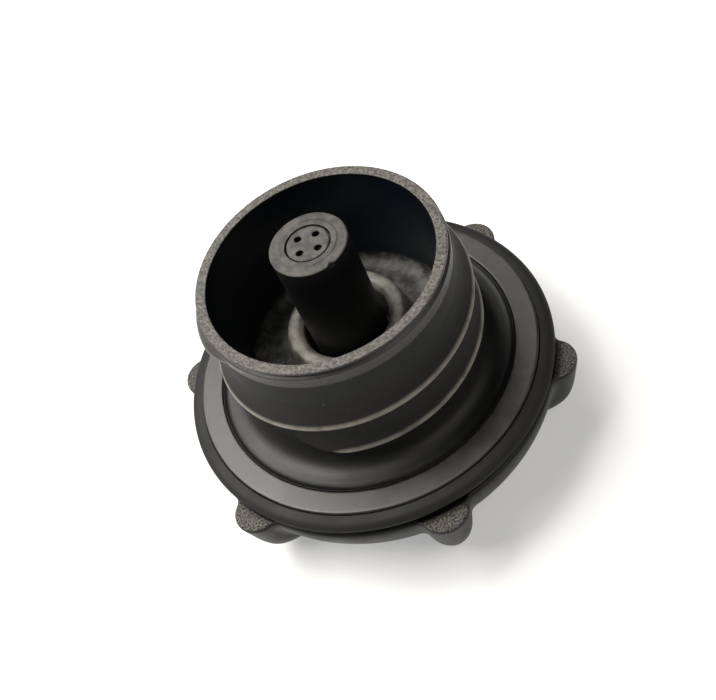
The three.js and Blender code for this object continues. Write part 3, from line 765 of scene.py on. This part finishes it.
# %% [markdown]
# The valve's post is a long tube with a flange that its O-ring sits on. Its end has a low raised
# ring, a chamfer outside and a recess for the inlet disc. A small nick in the outer edge is left
# from trimming the flash: the outline's radius dips there by a bell curve of the angle.

# %% Valve post
throat, bore = 3.6, 5.6
shelf = disc_bottom - 0.3
ledge = post_top - 4.0
flange_low, flange_high = floor_under - 2.6, floor_under - 0.3


def nick(r, z, angle):
    """A dent 0.5 mm deep and about 1 mm wide in the outer edge of the end, at -75 degrees."""
    apart = np.angle(np.exp(1j * (angle - math.radians(-75))))
    near_end = ease((z - (post_top - 0.9)) / 0.5) * ease((r - 6.3) / 0.4)
    return r - 0.5 * near_end * np.exp(-(apart / 0.07) ** 2), z


post_outline = rounded([
    [bore, tail_z, 0.1], [post_r, tail_z, 0.2], [post_r, flange_low, 0.1], [housing_r, flange_low, 0.15],
    [housing_r, flange_high, 0.15], [10.4, flange_high, 0.05], [10.4, flange_high - 1.4, 0.05],
    [8.5, flange_high - 1.4, 0.05], [8.5, flange_high, 0.05], [post_r, flange_high, 0.15],
    [post_r, post_top - 1.1, 0.05], [post_r, post_top - 0.3, 0.08],
    [post_r - 0.25, post_top - 0.12, 0.08], [5.3, post_top - 0.12, 0.08],
    [5.15, post_top, 0.08], [disc_r + 0.3, post_top, 0.12], [disc_r + 0.3, shelf, 0.05],
    [throat, shelf, 0.1], [throat, ledge, 0.08], [throat + 0.2, ledge, 0.05],
    [throat + 0.35, ledge - 0.6, 0.1], [throat + 0.8, ledge - 0.6, 0.1],
    [throat + 1.0, ledge, 0.05], [bore, ledge, 0.2],
], closed=True)
post = skin("valve_post", [(turned(post_outline, 144, wobble=nick), True, True)], "insert", post_nylon)
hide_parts("valve_housing")

# %% [markdown]
# The inlet disc has four round holes. A boolean would cut them, but it leaves long thin
# triangles. Here each quarter of the disc is stretched between its hole and its own border: for
# every direction from the hole's centre, one point lies on the hole and one on the border.

# %% Inlet disc
hole_r, hole_out, rays = 0.7, 2.3, 64
direction = 2 * np.pi * np.arange(rays) / rays
unit = np.stack([np.cos(direction), np.sin(direction)], 1)


def quarter_border():
    """Distance from the hole's centre to the quarter's border in every direction.

    The quarter is centred on +X, so its straight sides lie at plus and minus 45 degrees, and its
    round side is the disc's edge. The border is the nearest of the three.
    """
    start = np.array([hole_out, 0.0])
    edge_in = disc_r - 0.02
    to_edge = -unit @ start + np.sqrt((unit @ start) ** 2 + edge_in ** 2 - start @ start)
    distance = to_edge
    for sign in (1, -1):
        normal = np.array([-math.sin(math.pi / 4), sign * math.cos(math.pi / 4)])
        speed = unit @ normal
        gap = -(start @ normal)
        hit = np.where(speed > 1e-6, gap / np.maximum(speed, 1e-6), 1e9)
        distance = np.minimum(distance, np.where(hit > 0, hit, 1e9))
    return distance


border = quarter_border()
share = np.array([0, 0.06, 0.3, 0.65, 1.0])[:, None]
spread = hole_r + (border[None, :] - hole_r) * share
flat_x = hole_out + spread * unit[:, 0]
flat_y = spread * unit[:, 1]
on_rim = np.hypot(flat_x[-1], flat_y[-1]) > disc_r - 0.03
half_rim = int(on_rim.sum()) // 2 + 1
rim_rays = np.arange(-half_rim, half_rim + 1) % rays
disc_grids = []
for quarter in range(4):
    turn = math.radians(32 + 90 * quarter)
    x = flat_x * math.cos(turn) - flat_y * math.sin(turn)
    y = flat_x * math.sin(turn) + flat_y * math.cos(turn)
    for z in (disc_bottom, disc_top):
        disc_grids.append((np.stack([x, y, np.full_like(x, z)], -1), False, True))
    wall_x, wall_y = np.stack([x[0], x[0]]), np.stack([y[0], y[0]])
    wall_z = np.stack([np.full(rays, disc_bottom), np.full(rays, disc_top)])
    disc_grids.append((np.stack([wall_x, wall_y, wall_z], -1), False, True))
    # the disc's outer edge, which only the rays near the quarter's own axis reach
    wall_x, wall_y = np.stack([x[-1, rim_rays]] * 2), np.stack([y[-1, rim_rays]] * 2)
    wall_z = np.stack([np.full(len(rim_rays), disc_bottom), np.full(len(rim_rays), disc_top)])
    disc_grids.append((np.stack([wall_x, wall_y, wall_z], -1), False, False))
inlet = skin("inlet_grid", disc_grids, "insert", post_nylon)
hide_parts("inlet_disc")

# %% [markdown]
# Two coil springs close the valves. One end of each stays and the other follows its valve, but
# here each coil is built whole and rides on one body. The wire is a circle carried up a helix.

# %% Springs
def coil(node, wire, turns):
    """A round wire up a helix: its middle rises evenly with the angle, from one end to the other."""
    out, low, high = reach(node)
    angle = np.linspace(0, 2 * np.pi * turns, 40 * turns + 1)[:, None]
    middle = low + wire / 2 + (high - low - wire) * angle / (2 * np.pi * turns)
    side = 2 * np.pi * np.arange(12)[None, :] / 12
    return capped(polar(out - wire / 2 + wire / 2 * np.cos(side), angle, middle + wire / 2 * np.sin(side)))


for name, node, body, joint, wire, turns in (
        ("pressure_coil", "pressure_spring", "insert", "pressure_lift", 0.9, 7),
        ("vacuum_coil", "vacuum_spring", "piston", "vacuum_lift", 0.36, 5)):
    spring = skin(name, [(coil(node, wire, turns), False, True)], body, stainless)
    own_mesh(spring)
    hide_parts(node)

# %% [markdown]
# The stage is an opal light table under soft studio light. Its faint glow keeps the shadow pale.
# Two large softboxes behind the cap and to the left light the flat faces, a weak one in front
# fills the sides, and the bright table reflects in the lower edges of the black plastic.

# %% Table, light and world
def table():
    m = Recipe("opal_acrylic_light_table")
    return m.finish(linear("c2c2c0"), 0.9, IOR=1.2, Emission_Color=linear("ffffff"), Emission_Strength=0.35)


half_table = 1.5
table_z = -0.0002    # a hair under the knob, so the two faces don't fight
table_corners = [(x * half_table, y * half_table, table_z) for x, y in ((-1, -1), (1, -1), (1, 1), (-1, 1))]
floor_mesh = bpy.data.meshes.new("table_top")
floor_mesh.from_pydata(table_corners, [], [(0, 1, 2, 3)])
floor = bpy.data.objects.new("table_top", floor_mesh)
bpy.context.scene.collection.objects.link(floor)
floor_mesh.materials.append(table())


def softbox(name, azimuth, elevation, distance, size, power, tint):
    """A square light that faces the cap. Azimuth 0 is along +X, and size is its side in metres."""
    a, e = math.radians(azimuth), math.radians(elevation)
    outward = np.array([math.cos(e) * math.cos(a), math.cos(e) * math.sin(a), math.sin(e)])
    light = bpy.data.lights.new(name, "AREA")
    light.size = size
    light.energy = power
    light.color = linear(tint)[:3]
    lamp = bpy.data.objects.new(name, light)
    side = np.cross([0, 0, 1.0], outward)
    side /= np.linalg.norm(side)
    grid = np.eye(4)
    grid[:3, 0], grid[:3, 1], grid[:3, 2] = side, np.cross(outward, side), outward
    grid[:3, 3] = outward * distance + rim_centre
    lamp.matrix_world = Matrix(grid.tolist())
    bpy.context.scene.collection.objects.link(lamp)
    return lamp


softbox("key_softbox", 165, 55, 0.5, 0.34, 3.4, "fffcf6")
softbox("back_softbox", 116, 60, 0.5, 0.34, 3.4, "fffdf8")
softbox("front_softbox", 310, 48, 0.55, 0.34, 0.9, "fffaf2")
world = bpy.data.worlds.new("soft_room")
bpy.context.scene.world = world
world.use_nodes = True
room = world.node_tree.nodes["Background"]
room.inputs["Color"].default_value = linear("e9edf2")
room.inputs["Strength"].default_value = 0.06
bpy.context.scene.view_settings.view_transform = "Standard"
